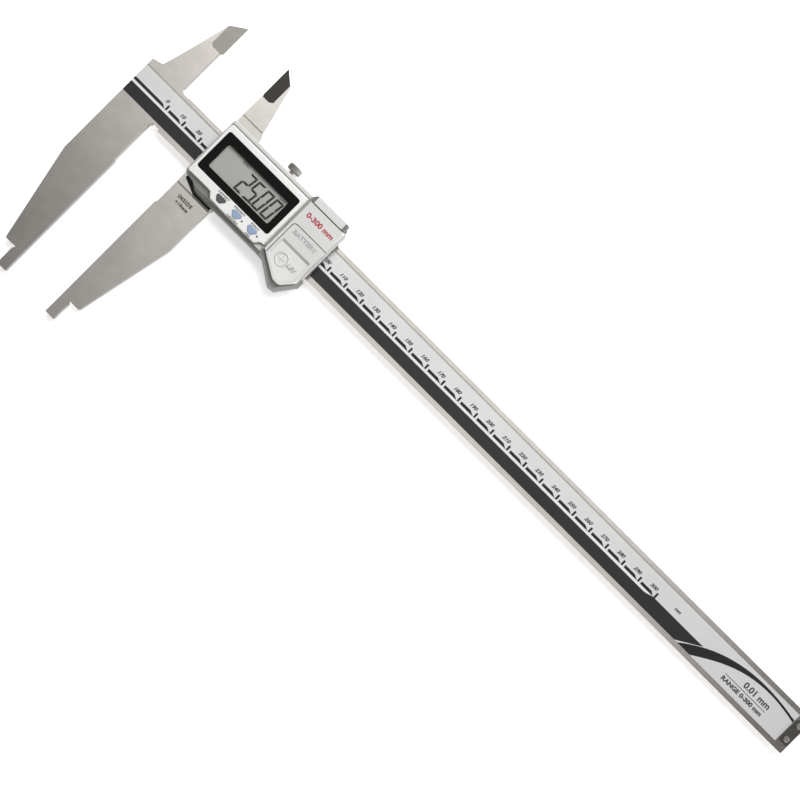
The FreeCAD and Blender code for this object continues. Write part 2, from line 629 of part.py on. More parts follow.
def battery_housing():
    base = edged_plate(battery_base(), RAIL_FRONT, SHELL_STEP, 0.5)
    front = raised_front(battery_front(), 0.35)
    front = front.cut(lid_region(LID_GAP, SHELL_STEP, SHELL_FRONT + 1))
    body = join([base, front])
    tools = [rod_z(CELL_X, CELL_Y, 6.0, 7.2, SHELL_FRONT)]
    tools.append(block(SOCKET_X - 5.3, SOCKET_X + 5.3, 6.5, 14.8, 7.4, 12.2))
    tools.append(block(SOCKET_X - 4.3, SOCKET_X + 4.3, 14.0, 17.0, 8.2, 11.8))
    tools.append(block(SEAM_X - 1, 79.4, 6.9, 10.1, 8.2, 8.55))
    tools.append(lid_gasket_ring(0.05))
    tools.append(block(CELL_X + 5.4, CELL_X + 6.1, -8.8, -4.4, 7.6, SHELL_STEP + 1))
    tools.append(block(94.2, 97.0, -9.95, 9.95, RAIL_FRONT - 1, 12.0))
    for x, y in BATTERY_SCREWS:
        tools.append(rod_z(x, y, 0.82, RAIL_FRONT - 1, 9.8))
    for x in COVER_SCREW_X:
        tools.append(rod_y(x, 10.0, 0.65, 12.0, 17.0))
    for y in (-7.4, 7.4):
        tools.append(rod_x(y, 9.6, 0.62, 91.4, 95.0))
    tools.append(rod_z(LID_SCREW[0], LID_SCREW[1], 1.25, RAIL_FRONT - 1, 7.6))
    tools.append(rod_z(LID_SCREW[0], LID_SCREW[1], 0.75, 7.0, SHELL_FRONT))
    return cut(body, tools)


def lid_gasket_ring(extra):
    outer = rod_z(CELL_X, CELL_Y, 7.3 + extra, 12.4, LID_BACK)
    return outer.cut(rod_z(CELL_X, CELL_Y, 6.5 - extra, 12, LID_BACK + 1))


def lid_gasket():
    return lid_gasket_ring(0.0)


def battery_lid():
    body = raised_front(battery_front(), 0.35).common(lid_region(0.0, LID_BACK, SHELL_FRONT + 1))
    profile = [
        FreeCAD.Vector(77.7, -4.0, SHELL_FRONT), FreeCAD.Vector(77.7, -5.3, 14.3),
        FreeCAD.Vector(77.7, -14.0, 14.6), FreeCAD.Vector(77.7, -21.0, SHELL_FRONT),
        FreeCAD.Vector(77.7, -21.0, SHELL_FRONT + 1), FreeCAD.Vector(77.7, -4.0, SHELL_FRONT + 1),
    ]
    dish = Part.Face(Part.makePolygon(profile + profile[:1])).extrude(FreeCAD.Vector(16.0, 0, 0))
    dish = dish.common(plate(grown(battery_front(), -1.2), 10, 20))
    hole = rod_z(LID_SCREW[0], LID_SCREW[1], 0.75, LID_BACK - 1, 14.2)
    return join([cut(body, [dish, hole])] + polarity_mark())


def polarity_mark():
    """A raised ring with a plus sign, showing which side of the cell faces the lid."""
    x, y = MARK
    ring = Part.makeTorus(2.95, 0.42, FreeCAD.Vector(x, y, 14.45))
    bar = rod_x(y, 14.45, 0.36, x - 1.45, x + 1.45)
    post = rod_y(x, 14.45, 0.36, y - 1.45, y + 1.45)
    return [ring, bar, post]


def lid_screw():
    x, y = LID_SCREW
    head = rod_z(x, y, 1.15, 6.6, 7.6)
    body = join([head, rod_z(x, y, 0.7, 7.6, 14.0)])
    return body.cut(block(x - 2, x + 2, y - 0.2, y + 0.2, 6.0, 6.95))


def battery_cell():
    can = rod_z(CELL_X, CELL_Y, CELL_RADIUS, 7.75, CELL_FRONT)
    can = can.makeFillet(0.4, edges_at(can, CELL_FRONT))
    cap = rod_z(CELL_X, CELL_Y, 4.9, CELL_BACK, 7.75)
    return join([can, cap])


def cell_spring():
    """The lower contact: a flat leaf under the cell with a tail into the wall."""
    return rounded_block(CELL_X - 3.5, CELL_X + 3.5, -8.2, -5.0, 7.2, CELL_BACK, 0.5)


def cell_side_contact():
    return block(CELL_X + 5.84, CELL_X + 6.08, -8.6, -4.6, 7.8, 12.6)


def data_socket():
    body = block(SOCKET_X - 4.7, SOCKET_X + 4.7, 8.6, 14.7, 7.6, 12.0)
    nose = block(SOCKET_X - 4.1, SOCKET_X + 4.1, 14.7, 15.8, 8.4, 11.6)
    mouth = block(SOCKET_X - 3.4, SOCKET_X + 3.4, 12.0, 17.0, 9.1, 10.9)
    return cut(join([body, nose]), [mouth])


def socket_contacts():
    middles = [SOCKET_X + 1.3 * step for step in (-2, -1, 0, 1, 2)]
    return group([block(x - 0.3, x + 0.3, 12.0, 15.6, 9.1, 9.5) for x in middles])


def cover_block():
    x0, x1, y0, y1 = COVER
    body = join([block(x0, x1, 17.0, y1, 7.0, 13.4), block(x0, x1, y0, y1, 13.4, 14.4)])
    long_edges = []
    for edge in body.Edges:
        box = edge.BoundBox
        on_top = abs(box.YMin - y1) < 1e-4 and abs(box.YMax - y1) < 1e-4
        if on_top:
            long_edges.append(edge)
    return body.makeChamfer(0.5, long_edges)


def connector_cover():
    tools = []
    for x in COVER_SCREW_X:
        tools.append(rod_y(x, 10.0, 1.35, 18.7, 21.0))
        tools.append(rod_y(x, 10.0, 0.7, 15.0, 20.0))
    return cut(cover_block(), tools)


def connector_seal():
    body = plate([(74.1, 15.85, 0.2), (93.8, 15.85, 0.3), (93.8, 19.4, 0.8), (75.4, 19.4, 0.8),
                  (74.1, 17.9, 0.4)], 7.2, 13.3)
    x0, x1, y0, y1 = COVER
    tools = [block(x0, x1, 17.0, y1 + 1, 6, 15)]
    for x in COVER_SCREW_X:
        tools.append(rod_y(x, 10.0, 0.7, 15.0, 18.0))
    return cut(body, tools)


def connector_screws():
    screws = []
    for x in COVER_SCREW_X:
        body = join([rod_y(x, 10.0, 0.6, 12.4, 18.7), rod_y(x, 10.0, 1.3, 18.7, 19.6)])
        screws.append(body.cut(block(x - 2, x + 2, 19.2, 21, 9.82, 10.18)))
    return group(screws)


def module_flex():
    return block(67.5, 79.4, 7.0, 10.0, 8.3, 8.45)


def thumb_grip():
    """A serrated band around the lower end of the battery housing."""
    outer = [(SEAM_X - 3, -8.0, 0.1), (SEAM_X - 3, -17.3, 0.3), (76.5, -17.7, 1.5), (86.6, -24.5, 2.0),
             (90.2, -24.0, 2.0), (96.5, -15.6, 3.0), (96.5, -8.0, 0.1)]
    body = plate(outer, RAIL_FRONT, 9.0)
    slope = tapered(grown(outer, -1.5), 9.0, 12.5, 1.5)
    body = join([body, slope])
    tools = [plate(grown(battery_base(), 0.02), RAIL_FRONT - 1, 14.0)]
    tools.append(block(SEAM_X - 6, SEAM_X, -30, 0, 0, 20))
    tools.append(block(SEAM_X - 1, 99, -11.7, 0, 0, 20))
    tools += grip_teeth((77.0, -18.04), (86.0, -24.10))
    tools += grip_teeth((90.8, -23.20), (95.7, -16.66))
    body = cut(body, tools)
    return max(body.Solids, key=lambda solid: solid.Volume)


def grip_teeth(start, end):
    """Upright notches at an even pitch along one side of the grip."""
    pitch = 1.2
    length = math.hypot(end[0] - start[0], end[1] - start[1])
    count = int(length / pitch)
    notches = []
    for i in range(count + 1):
        share = i / count
        x = start[0] + (end[0] - start[0]) * share
        y = start[1] + (end[1] - start[1]) * share
        notches.append(rod_z(x, y, 0.44, RAIL_FRONT - 1, 14.0))
    return notches


# ---------------------------------------------------------------- wipers at both ends
def wiper_left():
    return block(26.85, 27.75, -9.85, 9.85, 6.04, 7.38)


def wiper_right():
    return block(94.25, 95.15, -9.85, 9.85, 6.04, 7.38)


def wiper_holder():
    body = block(94.2, 95.85, -9.9, 9.9, RAIL_FRONT, 11.95)
    slot = block(94.0, 95.2, -9.9, 9.9, RAIL_FRONT - 1, 7.4)
    holes = [rod_x(y, 9.6, 0.66, 94.0, 97.0) for y in (-7.4, 7.4)]
    return cut(body, [slot] + holes)


def wiper_screws():
    screws = []
    for y in (-7.4, 7.4):
        body = join([rod_x(y, 9.6, 0.58, 91.6, 95.85), rod_x(y, 9.6, 1.15, 95.85, 96.35)])
        screws.append(body.cut(block(96.1, 97, y - 2, y + 2, 9.43, 9.77)))
    return group(screws)


# ---------------------------------------------------------------- all nodes
def all_nodes():
    nodes = {
        "main_beam": main_beam(),
        "scale_strip": scale_strip(),
        "scale_label": scale_label(),
        "stop_plate": stop_plate(),
        "stop_screws": stop_screws(),
        "slider_frame": slider_frame(),
        "gib": gib(),
        "gib_screws": gib_screws(),
        "back_label": back_label(),
        "housing_screws": housing_screws(),
        "battery_housing_screws": battery_housing_screws(),
        "clamp_pad": clamp_pad(),
        "clamp_screw": clamp_screw(),
        "display_housing": display_housing(),
        "lower_trim": lower_trim(),
        "housing_gasket": housing_gasket(),
        "foot_seal": foot_seal(),
        "read_head_board": read_head_board(),
        "main_board": main_board(),
        "board_parts": board_parts(),
        "board_connector": board_connector(),
        "contact_domes": contact_domes(),
        "keypad_seal": keypad_seal(),
        "lcd_holder": lcd_holder(),
        "zebra_strip": zebra_strip(),
        "lcd_panel": lcd_panel(),
        "window_lens": window_lens(),
        "window_bezel": window_bezel(),
        "battery_housing": battery_housing(),
        "battery_cell": battery_cell(),
        "cell_spring": cell_spring(),
        "cell_side_contact": cell_side_contact(),
        "battery_lid": battery_lid(),
        "lid_gasket": lid_gasket(),
        "lid_screw": lid_screw(),
        "data_socket": data_socket(),
        "socket_contacts": socket_contacts(),
        "connector_seal": connector_seal(),
        "connector_cover": connector_cover(),
        "connector_screws": connector_screws(),
        "module_flex": module_flex(),
        "thumb_grip": thumb_grip(),
        "wiper_left": wiper_left(),
        "wiper_right": wiper_right(),
        "wiper_holder": wiper_holder(),
        "wiper_screws": wiper_screws(),
    }
    for name, x in BUTTON_X.items():
        nodes["button_" + name] = button(x)
    return nodes


nodes = all_nodes()
middle_x = (BEAM_LEFT + BEAM_RIGHT) / 2
middle_y = (JAW_TIP + BLADE_TIP) / 2
os.makedirs("parts", exist_ok=True)
for name, shape in nodes.items():
    moved = shape.copy()
    moved.translate(FreeCAD.Vector(-middle_x, -middle_y, 0))
    moved.exportStep("parts/" + name + ".step")
    box = moved.BoundBox
    print("%-24s solids %d valid %s volume %9.1f  x %7.2f %7.2f  y %7.2f %7.2f  z %6.2f %6.2f" % (
        name, len(moved.Solids), moved.isValid(), moved.Volume,
        box.XMin, box.XMax, box.YMin, box.YMax, box.ZMin, box.ZMax))
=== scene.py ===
import json
import math

import bmesh
import bpy
from mathutils import Matrix, Vector


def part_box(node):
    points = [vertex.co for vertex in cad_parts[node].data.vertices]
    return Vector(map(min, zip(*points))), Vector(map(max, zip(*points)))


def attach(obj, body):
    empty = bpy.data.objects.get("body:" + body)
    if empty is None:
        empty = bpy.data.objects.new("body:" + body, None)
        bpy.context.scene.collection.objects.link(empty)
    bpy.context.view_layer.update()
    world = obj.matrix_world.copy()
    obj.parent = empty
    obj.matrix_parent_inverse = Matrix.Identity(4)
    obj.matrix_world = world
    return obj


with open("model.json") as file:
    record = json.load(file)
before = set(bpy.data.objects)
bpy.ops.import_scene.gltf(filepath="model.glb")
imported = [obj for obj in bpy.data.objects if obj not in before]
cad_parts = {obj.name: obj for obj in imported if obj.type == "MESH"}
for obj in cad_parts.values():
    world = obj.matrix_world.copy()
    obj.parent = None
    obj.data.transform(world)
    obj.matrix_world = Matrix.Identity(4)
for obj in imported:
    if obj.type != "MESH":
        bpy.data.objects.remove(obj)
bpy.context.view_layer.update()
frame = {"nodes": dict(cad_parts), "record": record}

# Digital caliper, looks only.  Drawing positions below are in millimetres from the zero of the
# printed scale (X), the beam's centre line (Y) and the slider's back (Z), as on the CAD model.
nodes = frame["nodes"]
beam_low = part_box("main_beam")[0]
BEAM_START = -0.020       # the beam's closed end, in metres from the zero tick
NIB_REACH = -0.100        # the fixed nib's tip, in metres from the beam's centre line
ZERO = Vector((beam_low[0] - BEAM_START, beam_low[1] - NIB_REACH, 0.0))


def top_of(name):
    """Height of a CAD node's top in drawing millimetres."""
    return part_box(name)[1][2] * 1000


def place(x, y, z=0.0):
    """A drawing position in metres, in the shared frame."""
    return Vector((ZERO.x + x / 1000, ZERO.y + y / 1000, z / 1000))


LABEL_Z = top_of("scale_label")
STEEL_Z = top_of("main_beam")
LCD_Z = top_of("lcd_panel")
SHELL_Z = top_of("display_housing")
PRINT = 0.02              # thickness of printed ink
SHELL_STEP = 0.0129       # top of the ledge around the shells' raised fronts, in metres
STEP_BLEND = 0.0006       # height above that ledge over which the painted shade fades out, in metres


# ---------------------------------------------------------------- material helpers
def start_material(name):
    """A material with only a Principled shader: returns the material, its node tree, the shader."""
    material = bpy.data.materials.new(name)
    material.use_nodes = True
    tree = material.node_tree
    tree.nodes.clear()
    output = tree.nodes.new("ShaderNodeOutputMaterial")
    shader = tree.nodes.new("ShaderNodeBsdfPrincipled")
    tree.links.new(shader.outputs["BSDF"], output.inputs["Surface"])
    return material, tree, shader


def coordinates(tree, scale):
    """Object coordinates scaled by (x, y, z)."""
    coord = tree.nodes.new("ShaderNodeTexCoord")
    mapping = tree.nodes.new("ShaderNodeMapping")
    mapping.inputs["Scale"].default_value = scale
    tree.links.new(coord.outputs["Object"], mapping.inputs["Vector"])
    return mapping.outputs["Vector"]


def noise(tree, scale, detail=3.0):
    """Noise whose scale is (x, y, z) cells per metre."""
    node = tree.nodes.new("ShaderNodeTexNoise")
    node.inputs["Scale"].default_value = 1.0
    node.inputs["Detail"].default_value = detail
    node.inputs["Roughness"].default_value = 0.55
    tree.links.new(coordinates(tree, scale), node.inputs["Vector"])
    return node.outputs["Fac"]


def spread(tree, value, low, high, start=0.3, end=0.7):
    """A value from start to end turned into low to high."""
    node = tree.nodes.new("ShaderNodeMapRange")
    node.inputs["From Min"].default_value = start
    node.inputs["From Max"].default_value = end
    node.inputs["To Min"].default_value = low
    node.inputs["To Max"].default_value = high
    tree.links.new(value, node.inputs["Value"])
    return node.outputs["Result"]


def colour_mix(tree, factor):
    """A mix node for colours: returns its two colour inputs and its colour output."""
    node = tree.nodes.new("ShaderNodeMix")
    node.data_type = "RGBA"
    tree.links.new(factor, node.inputs["Factor"])
    first, second = [socket for socket in node.inputs if socket.type == "RGBA"]
    result = [socket for socket in node.outputs if socket.type == "RGBA"][0]
    return first, second, result


def mixed(tree, factor, first, second):
    """Two fixed tones: the first where the factor is 0, the second where it is 1."""
    first_input, second_input, result = colour_mix(tree, factor)
    first_input.default_value = (*first, 1.0)
    second_input.default_value = (*second, 1.0)
    return result


def tinted(tree, factor, first, second):
    """Two colour outputs: the first where the factor is 0, the second where it is 1."""
    first_input, second_input, result = colour_mix(tree, factor)
    tree.links.new(first, first_input)
    tree.links.new(second, second_input)
    return result


def varied(tone, amount):
    """A tone made darker and lighter by the given share."""
    return [c * (1 - amount) for c in tone], [min(1.0, c * (1 + amount)) for c in tone]


def upright_faces(tree):
    """1 on upright side faces, 0 on faces that lie flat."""
    geometry = tree.nodes.new("ShaderNodeNewGeometry")
    split = tree.nodes.new("ShaderNodeSeparateXYZ")
    size = tree.nodes.new("ShaderNodeMath")
    size.operation = "ABSOLUTE"
    tree.links.new(geometry.outputs["True Normal"], split.inputs["Vector"])
    tree.links.new(split.outputs["Z"], size.inputs[0])
    return spread(tree, size.outputs["Value"], 1.0, 0.0, start=0.35, end=0.6)


def bump(tree, shader, height, distance):
    """Fine relief: the height value from 0 to 1 stands for the distance in metres."""
    node = tree.nodes.new("ShaderNodeBump")
    node.inputs["Strength"].default_value = 1.0
    node.inputs["Distance"].default_value = distance
    tree.links.new(height, node.inputs["Height"])
    tree.links.new(node.outputs["Normal"], shader.inputs["Normal"])


# Grain of metal surfaces, in cells per metre along X, Y and Z.
ALONG_BEAM = (60.0, 9000.0, 9000.0)
ALONG_GIB = (60.0, 6000.0, 6000.0)
ACROSS_PLATE = (5000.0, 60.0, 5000.0)
TURNED = (3000.0, 3000.0, 3000.0)
DRAWN = (2000.0, 2000.0, 2000.0)


def ground_steel(name, tone, rough=0.16, grain=ALONG_BEAM, depth=1.2e-6, side=1.0):
    """Ground and lapped steel: fine grinding lines and faint cloudy tone changes.

    The side value darkens the colour of the upright faces: painted shade on the steel's sides.
    """
    material, tree, shader = start_material(name)
    darker, lighter = varied(tone, 0.06)
    clouds = spread(tree, noise(tree, (90.0, 90.0, 90.0), 4.0), 0, 1)
    flat = mixed(tree, clouds, darker, lighter)
    # Painted shade: the upright faces get the tone darkened by the side share.
    upright = mixed(tree, clouds, [c * side for c in darker], [c * side for c in lighter])
    tree.links.new(tinted(tree, upright_faces(tree), flat, upright), shader.inputs["Base Color"])
    lines = noise(tree, grain, 2.0)
    tree.links.new(spread(tree, lines, rough - 0.04, rough + 0.05), shader.inputs["Roughness"])
    shader.inputs["Metallic"].default_value = 1.0
    bump(tree, shader, lines, depth)
    return material


def satin(name, tone, rough=0.38, metallic=0.0, speck=2500.0, depth=3.0e-6,
          vary=0.03, coat=0.0, gloss=0.5, foot=1.0):
    """Painted or moulded surface with a fine even texture and slight tone variation.

    The foot value darkens everything lower than the shells' raised fronts: painted shade on the ledges
    and walls below them.
    """
    material, tree, shader = start_material(name)
    fine = noise(tree, (speck, speck, speck), 2.0)
    broad = spread(tree, noise(tree, (40.0, 40.0, 40.0)), 0, 1)
    darker, lighter = varied(tone, vary)
    colour = mixed(tree, broad, darker, lighter)
    # Painted shade below the raised fronts: under the ledge height the tone is darkened by the foot
    # share.
    if foot < 1.0:
        height = tree.nodes.new("ShaderNodeSeparateXYZ")
        tree.links.new(coordinates(tree, (1, 1, 1)), height.inputs["Vector"])
        lower = mixed(tree, broad, [c * foot for c in darker], [c * foot for c in lighter])
        painted_shade_below = spread(tree, height.outputs["Z"], 1.0, 0.0, SHELL_STEP, SHELL_STEP + STEP_BLEND)
        colour = tinted(tree, painted_shade_below, colour, lower)
    tree.links.new(colour, shader.inputs["Base Color"])
    tree.links.new(spread(tree, fine, rough - 0.04, rough + 0.05), shader.inputs["Roughness"])
    shader.inputs["Metallic"].default_value = metallic
    shader.inputs["Coat Weight"].default_value = coat
    shader.inputs["Specular IOR Level"].default_value = gloss
    bump(tree, shader, fine, depth)
    return material


def clear_pane(name):
    """Thin clear pane: mostly see-through with a little gloss."""
    material = bpy.data.materials.new(name)
    material.use_nodes = True
    tree = material.node_tree
    tree.nodes.clear()
    output = tree.nodes.new("ShaderNodeOutputMaterial")
    through = tree.nodes.new("ShaderNodeBsdfTransparent")
    through.inputs["Color"].default_value = (0.97, 0.98, 0.98, 1)
    gloss = tree.nodes.new("ShaderNodeBsdfGlossy")
    gloss.inputs["Roughness"].default_value = 0.06
    fresnel = tree.nodes.new("ShaderNodeFresnel")
    fresnel.inputs["IOR"].default_value = 1.3
    blend = tree.nodes.new("ShaderNodeMixShader")
    tree.links.new(fresnel.outputs["Fac"], blend.inputs["Fac"])
    tree.links.new(through.outputs["BSDF"], blend.inputs[1])
    tree.links.new(gloss.outputs["BSDF"], blend.inputs[2])
    tree.links.new(blend.outputs["Shader"], output.inputs["Surface"])
    return material


# ---------------------------------------------------------------- materials
# Painted shade: side=0.15 darkens the upright faces of the beam and the slider.
STEEL = ground_steel("ground_steel", (0.822, 0.785, 0.728), side=0.15)
BLADE_STEEL = ground_steel("slider_steel", (0.822, 0.79, 0.738), side=0.15)
SCREW_STEEL = ground_steel("screw_steel", (0.582, 0.571, 0.549), 0.30, TURNED, 1e-6)
STOP_STEEL = ground_steel("stop_steel", (0.168, 0.162, 0.151), 0.40, TURNED, 1e-6)
KNURL_STEEL = ground_steel("knurl_steel", (0.472, 0.459, 0.432), 0.38, TURNED, 2e-6)
# Painted shade: foot darkens both shells below their raised fronts.
SILVER = satin("silver_shell", (0.929, 0.923, 0.907), 0.36, metallic=0.3, foot=0.70)
SILVER_CELL = satin("silver_battery_shell", (0.767, 0.764, 0.751), 0.36, metallic=0.36, foot=0.80)
# Painted shade: the raised lid marks are darker grey than the lid, standing in for the shading at
# their edges.
SHADED_LID_MARK = satin("lid_mark_painted_shade", (0.57, 0.57, 0.565), 0.36, metallic=0.35)
GREY_GRIP = satin("dark_shell", (0.27, 0.266, 0.256), 0.45, metallic=0.3)
BLACK = satin("window_black", (0.005, 0.0048, 0.0042), 0.45, speck=6000, depth=1e-6, vary=0.10,
              gloss=0.15)
SEAL_GREY = satin("seal_grey", (0.17, 0.17, 0.165), 0.60, speck=4000, depth=6e-6, vary=0.10)
RUBBER = satin("rubber_black", (0.030, 0.030, 0.029), 0.62, speck=4000, depth=6e-6, vary=0.10)
FOIL = satin("scale_foil", (0.901, 0.895, 0.889), 0.34, metallic=0.6, speck=5000, depth=1e-6)
BOARD = satin("board_green", (0.02, 0.12, 0.05), 0.35)
CHIP = satin("chip_black", (0.02, 0.02, 0.02), 0.5)
NICKEL = ground_steel("cell_steel", (0.80, 0.79, 0.76), 0.18, DRAWN, 5e-7)
BRASS = ground_steel("contact_brass", (0.75, 0.56, 0.25), 0.28, DRAWN, 1e-6)
BRONZE = ground_steel("gib_bronze", (0.50, 0.33, 0.15), 0.40, ALONG_GIB, 2e-6)
HOLDER = satin("holder_white", (0.8, 0.8, 0.78), 0.5)
AMBER = satin("flex_amber", (0.45, 0.20, 0.04), 0.3)
PLATE = ground_steel("label_silver", (0.66, 0.66, 0.65), 0.42, ACROSS_PLATE, 1e-6)
LCD = satin("display_grey", (0.503, 0.489, 0.456), 0.5, speck=8000, depth=5e-7, vary=0.05)
BLUE = satin("button_blue", (0.261, 0.351, 0.513), 0.14, speck=3000, depth=1e-6, coat=0.6)
DARK_BUTTON = satin("button_grey", (0.075, 0.075, 0.075), 0.22, speck=3000, depth=1e-6, coat=0.4)
PANE = clear_pane("clear_window")
INK = satin("black_ink", (0.012, 0.012, 0.0125), 0.42, speck=6000, depth=1e-6, vary=0.15)
BAND_INK = satin("band_ink", (0.018, 0.018, 0.019), 0.22, speck=6000, depth=1e-6, vary=0.12)
WHITE_INK = satin("white_ink", (0.74, 0.74, 0.74), 0.45, speck=6000, depth=1e-6)
RED_INK = satin("red_ink", (0.40, 0.03, 0.05), 0.45, speck=6000, depth=1e-6)
BORDER_INK = satin("border_ink", (0.20, 0.195, 0.18), 0.50, speck=6000, depth=1e-6)
GREY_INK = satin("grey_ink", (0.06, 0.06, 0.064), 0.50, speck=6000, depth=1e-6)
SEGMENT = satin("segment_black", (0.012, 0.013, 0.013), 0.5, speck=6000, depth=1e-6)
FAINT_INK = satin("faint_segment", (0.17, 0.17, 0.17), 0.5, speck=6000, depth=1e-6)
ENGRAVED = satin("engraved_line", (0.055, 0.05, 0.043), 0.5, speck=6000, depth=1e-6)

CAD_MATERIALS = {
    "ground_steel": STEEL, "slider_steel": BLADE_STEEL, "screw_steel": SCREW_STEEL,
    "stop_steel": STOP_STEEL, "knurl_steel": KNURL_STEEL, "cell_steel": NICKEL,
    "contact_brass": BRASS, "gib_bronze": BRONZE, "label_silver": PLATE,
    "silver_shell": SILVER, "dark_shell": GREY_GRIP, "window_black": BLACK,
    "clear_window": PANE, "display_grey": LCD, "scale_print": FOIL,
    "seal_grey": SEAL_GREY, "rubber_black": RUBBER, "button_blue": BLUE,
    "button_grey": DARK_BUTTON, "board_green": BOARD, "chip_black": CHIP,
    "holder_white": HOLDER, "flex_amber": AMBER,
}


def dress_cad_nodes():
    """Give every CAD node the material of its slot in the record."""
    slot_of = {part["node"]: part["material_slot"] for part in frame["record"]["subparts"]}
    for name, piece in nodes.items():
        piece.data.materials.clear()
        piece.data.materials.append(CAD_MATERIALS[slot_of[name]])
    # The right-hand shell and its covers are a little duller than the display's.
    for name in ("battery_housing", "battery_lid", "connector_cover"):
        nodes[name].data.materials[0] = SILVER_CELL


# ---------------------------------------------------------------- drawing helpers
def finish_piece(name, mesh_builder, material, body):
    """Turn a bmesh into a piece that rides on a body."""
    mesh = bpy.data.meshes.new(name)
    mesh_builder.to_mesh(mesh)
    mesh_builder.free()
    mesh.materials.append(material)
    piece = bpy.data.objects.new(name, mesh)
    bpy.context.collection.objects.link(piece)
    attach(piece, body)
    return piece


def add_patch(builder, points, z):
    """A flat closed patch of ink: its outline in millimetres, its foot at height z."""
    low = [builder.verts.new(place(x, y, z)) for x, y in points]
    high = [builder.verts.new(place(x, y, z + PRINT)) for x, y in points]
    area = sum(a[0] * b[1] - b[0] * a[1] for a, b in zip(points, points[1:] + points[:1]))
    if area < 0:
        low.reverse()
        high.reverse()
    count = len(points)
    builder.faces.new(high)
    builder.faces.new(list(reversed(low)))
    for i in range(count):
        j = (i + 1) % count
        builder.faces.new((low[i], low[j], high[j], high[i]))


def patches(name, outlines, z, material, body):
    """One piece made of several flat patches."""
    builder = bmesh.new()
    for points in outlines:
        add_patch(builder, points, z)
    bmesh.ops.triangulate(builder, faces=[f for f in builder.faces if len(f.verts) > 4])
    return finish_piece(name, builder, material, body)


def add_strip(builder, upper, lower, z):
    """A flat strip between two rows of points that run the same way, the upper row first."""
    rows = []
    for points, height in ((upper, z + PRINT), (lower, z + PRINT), (lower, z), (upper, z)):
        rows.append([builder.verts.new(place(x, y, height)) for x, y in points])
    count = len(upper)
    for row in range(4):
        first, second = rows[row], rows[(row + 1) % 4]
        for i in range(count - 1):
            builder.faces.new((first[i], second[i], second[i + 1], first[i + 1]))
    builder.faces.new([rows[row][0] for row in (3, 2, 1, 0)])
    builder.faces.new([rows[row][-1] for row in (0, 1, 2, 3)])


def strips(name, pairs, z, material, body):
    """One piece made of several flat strips."""
    builder = bmesh.new()
    for upper, lower in pairs:
        add_strip(builder, upper, lower, z)
    return finish_piece(name, builder, material, body)


def line(start, end, count):
    """Evenly spaced points from start to end."""
    points = []
    for i in range(count + 1):
        share = i / count
        points.append((start[0] + (end[0] - start[0]) * share, start[1] + (end[1] - start[1]) * share))
    return points


def bezier(p0, p1, p2, p3, count=24):
    """Points along a cubic curve."""
    points = []
    for i in range(count + 1):
        t = i / count
        a, b, c, d = (1 - t) ** 3, 3 * t * (1 - t) ** 2, 3 * t * t * (1 - t), t ** 3
        points.append((a * p0[0] + b * p1[0] + c * p2[0] + d * p3[0],
                       a * p0[1] + b * p1[1] + c * p2[1] + d * p3[1]))
    return points


CAPITAL_SHARE = 0.73      # height of a capital in the font, as a share of its size


def lettering(name, words, z, material, body,
              thickness=PRINT, weight=0.0, spacing=1.0, rounding=0.0):
    """Text as one mesh.  Words are (text, x, y, height, align, slant, stretch).

    The weight thickens the strokes and the rounding rounds their edges, both in millimetres.
    """
    builder = bmesh.new()
    for text, x, y, height, align, slant, stretch in words:
        curve = bpy.data.curves.new(name, "FONT")
        curve.body = text
        curve.size = height / CAPITAL_SHARE
        curve.align_x = align
        curve.align_y = "BOTTOM_BASELINE"
        curve.shear = slant
        curve.resolution_u = 3
        curve.extrude = thickness / 2
        curve.offset = weight
        curve.space_character = spacing
        curve.bevel_depth = rounding
        curve.bevel_resolution = 2
        carrier = bpy.data.objects.new(name, curve)
        mesh = bpy.data.meshes.new_from_object(carrier)
        scale = Matrix.Diagonal((stretch / 1000, 0.001, 0.001, 1))
        mesh.transform(Matrix.Translation(place(x, y, z + thickness / 2)) @ scale)
        builder.from_mesh(mesh)
        bpy.data.objects.remove(carrier)
        bpy.data.curves.remove(curve)
        bpy.data.meshes.remove(mesh)
    return finish_piece(name, builder, material, body)


# ---------------------------------------------------------------- scale print on the beam
SCALE_END = 300
TICK_STEP = 10
TICK_LOW, TICK_HIGH = -0.95, 1.6
BAND_TOP = 0.4
STRIPE_TOP, STRIPE_LOW = -0.95, -2.15
BORDER_TOP, BORDER_LOW = 7.86, 7.58
PRINT_LOW = -7.55
PRINT_START = -19.95      # closed end of the label's print
BORDER_START = -19.8
BORDER_END = 379.5
BAND_BEND = 293.5         # the broad band starts to rise here
BAND_RISEN = 299.2        # and has risen to the scale here
CURVE_END = 379.7         # free end of the curved stripe
PRINT_SHIFT = 0.4         # the ticks are read at their middle


def band_between_ticks(left, right):
    """Black band that ends in a slanted taper before the next tick."""
    return [(left, STRIPE_TOP), (right - 0.9, STRIPE_TOP), (right - 3.4, BAND_TOP), (left, BAND_TOP)]


def scale_bands():
    """The row of black bands between the ticks.  The last one has a shorter taper."""
    bands = [band_between_ticks(PRINT_START, PRINT_SHIFT)]
    for x in range(0, SCALE_END - TICK_STEP, TICK_STEP):
        bands.append(band_between_ticks(x + 1.0 + PRINT_SHIFT, x + TICK_STEP + PRINT_SHIFT))
    bands.append([(291.4, STRIPE_TOP), (299.0, STRIPE_TOP), (298.2, -0.3), (297.3, BAND_TOP),
                  (291.4, BAND_TOP)])
    patches("scale_bands", bands, LABEL_Z, INK, "beam")


def scale_ticks():
    """One tick every 10 mm."""
    ticks = []
    for x in range(0, SCALE_END + 1, TICK_STEP):
        left, right = x - 0.9 + PRINT_SHIFT, x + 0.05 + PRINT_SHIFT
        ticks.append([(left, TICK_LOW), (right, TICK_LOW), (right, TICK_HIGH), (left, TICK_HIGH)])
    patches("scale_ticks", ticks, LABEL_Z, INK, "beam")


